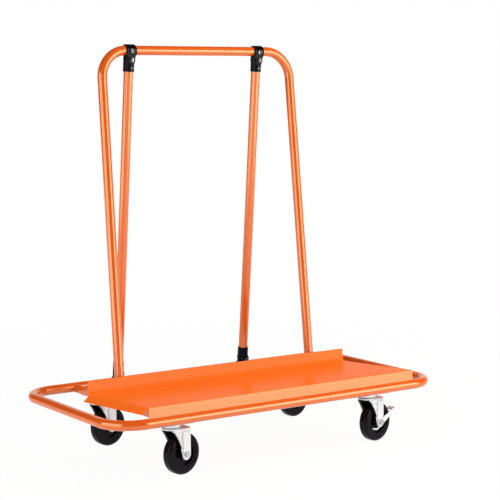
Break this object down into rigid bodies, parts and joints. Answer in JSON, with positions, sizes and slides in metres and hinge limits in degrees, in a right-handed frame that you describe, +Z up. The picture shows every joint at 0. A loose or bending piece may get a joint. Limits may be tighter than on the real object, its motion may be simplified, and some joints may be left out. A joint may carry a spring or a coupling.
{
  "type": "drywall cart",
  "caption": "Drywall panel cart: tube loop on swivel casters with a folded sloping deck, and a leaning tube hoop propped from the rear with clamped pipe tees.",
  "frame": {"origin": "on the floor, under the middle of the base loop", "axes": "+X along the cart to the end with the brakes, +Y from the loading side to the rear, +Z up"},
  "size_m": [1.2, 0.6374, 1.262],
  "materials": {
    "orange_paint": "glossy powder coat",
    "black_coat": "satin black coat",
    "zinc": "bright zinc plate",
    "steel": "plated steel",
    "wheel_core": "black moulded core",
    "tyre": "black solid rubber"
  },
  "bodies": {
    "cart": {"base_loop": "orange_paint", "cross_member_left": "orange_paint", "cross_member_right": "orange_paint", "deck": "orange_paint", "hoop": "orange_paint", "hoop_spigot_left": "orange_paint", "hoop_spigot_right": "orange_paint", "prop_left": "orange_paint", "prop_right": "orange_paint", "top_tee_front_left": "black_coat", "top_tee_front_right": "black_coat", "top_tee_back_left": "black_coat", "top_tee_back_right": "black_coat", "foot_tee_front_left": "black_coat", "foot_tee_front_right": "black_coat", "foot_tee_back_left": "black_coat", "foot_tee_back_right": "black_coat", "tee_bolts": "black_coat", "tee_nuts": "black_coat", "hoop_bolts": "steel", "kingpins": "steel", "race_balls": "steel", "caster_bolts": "zinc", "caster_nuts": "zinc", "caster_plate_fl": "zinc", "caster_plate_fr": "zinc", "caster_plate_rl": "zinc", "caster_plate_rr": "zinc"},
    "brake_fr": {"brake_pedal_fr": "zinc"},
    "brake_rr": {"brake_pedal_rr": "zinc"},
    "swivel_fl": {"caster_fork_fl": "zinc", "axle_fl": "steel"},
    "wheel_fl": {"bush_fl": "steel", "wheel_fl": "wheel_core", "tyre_fl": "tyre"},
    "swivel_fr": {"caster_fork_fr": "zinc", "axle_fr": "steel"},
    "wheel_fr": {"bush_fr": "steel", "wheel_fr": "wheel_core", "tyre_fr": "tyre"},
    "swivel_rl": {"caster_fork_rl": "zinc", "axle_rl": "steel"},
    "wheel_rl": {"bush_rl": "steel", "wheel_rl": "wheel_core", "tyre_rl": "tyre"},
    "swivel_rr": {"caster_fork_rr": "zinc", "axle_rr": "steel"},
    "wheel_rr": {"bush_rr": "steel", "wheel_rr": "wheel_core", "tyre_rr": "tyre"}
  },
  "joints": [
    {"name": "swivel_fl", "type": "hinge", "parent": "cart", "child": "swivel_fl", "pos_m": [-0.363, -0.222, 0.147], "axis": [0, 0, 1], "continuous": true},
    {"name": "roll_fl", "type": "hinge", "parent": "swivel_fl", "child": "wheel_fl", "pos_m": [-0.32387, -0.21368, 0.0625], "axis": [-0.2079, 0.9781, 0], "continuous": true},
    {"name": "swivel_fr", "type": "hinge", "parent": "cart", "child": "swivel_fr", "pos_m": [0.363, -0.222, 0.147], "axis": [0, 0, 1], "continuous": true},
    {"name": "roll_fr", "type": "hinge", "parent": "swivel_fr", "child": "wheel_fr", "pos_m": [0.40213, -0.21368, 0.0625], "axis": [-0.2079, 0.9781, 0], "continuous": true},
    {"name": "brake_fr", "type": "hinge", "parent": "swivel_fr", "child": "brake_fr", "pos_m": [0.40213, -0.21368, 0.0625], "axis": [-0.2079, 0.9781, 0], "range_deg": [0, 25]},
    {"name": "swivel_rl", "type": "hinge", "parent": "cart", "child": "swivel_rl", "pos_m": [-0.363, 0.222, 0.147], "axis": [0, 0, 1], "continuous": true},
    {"name": "roll_rl", "type": "hinge", "parent": "swivel_rl", "child": "wheel_rl", "pos_m": [-0.32387, 0.23032, 0.0625], "axis": [-0.2079, 0.9781, 0], "continuous": true},
    {"name": "swivel_rr", "type": "hinge", "parent": "cart", "child": "swivel_rr", "pos_m": [0.363, 0.222, 0.147], "axis": [0, 0, 1], "continuous": true},
    {"name": "roll_rr", "type": "hinge", "parent": "swivel_rr", "child": "wheel_rr", "pos_m": [0.40213, 0.23032, 0.0625], "axis": [-0.2079, 0.9781, 0], "continuous": true},
    {"name": "brake_rr", "type": "hinge", "parent": "swivel_rr", "child": "brake_rr", "pos_m": [0.40213, 0.23032, 0.0625], "axis": [-0.2079, 0.9781, 0], "range_deg": [0, 25]}
  ]
}
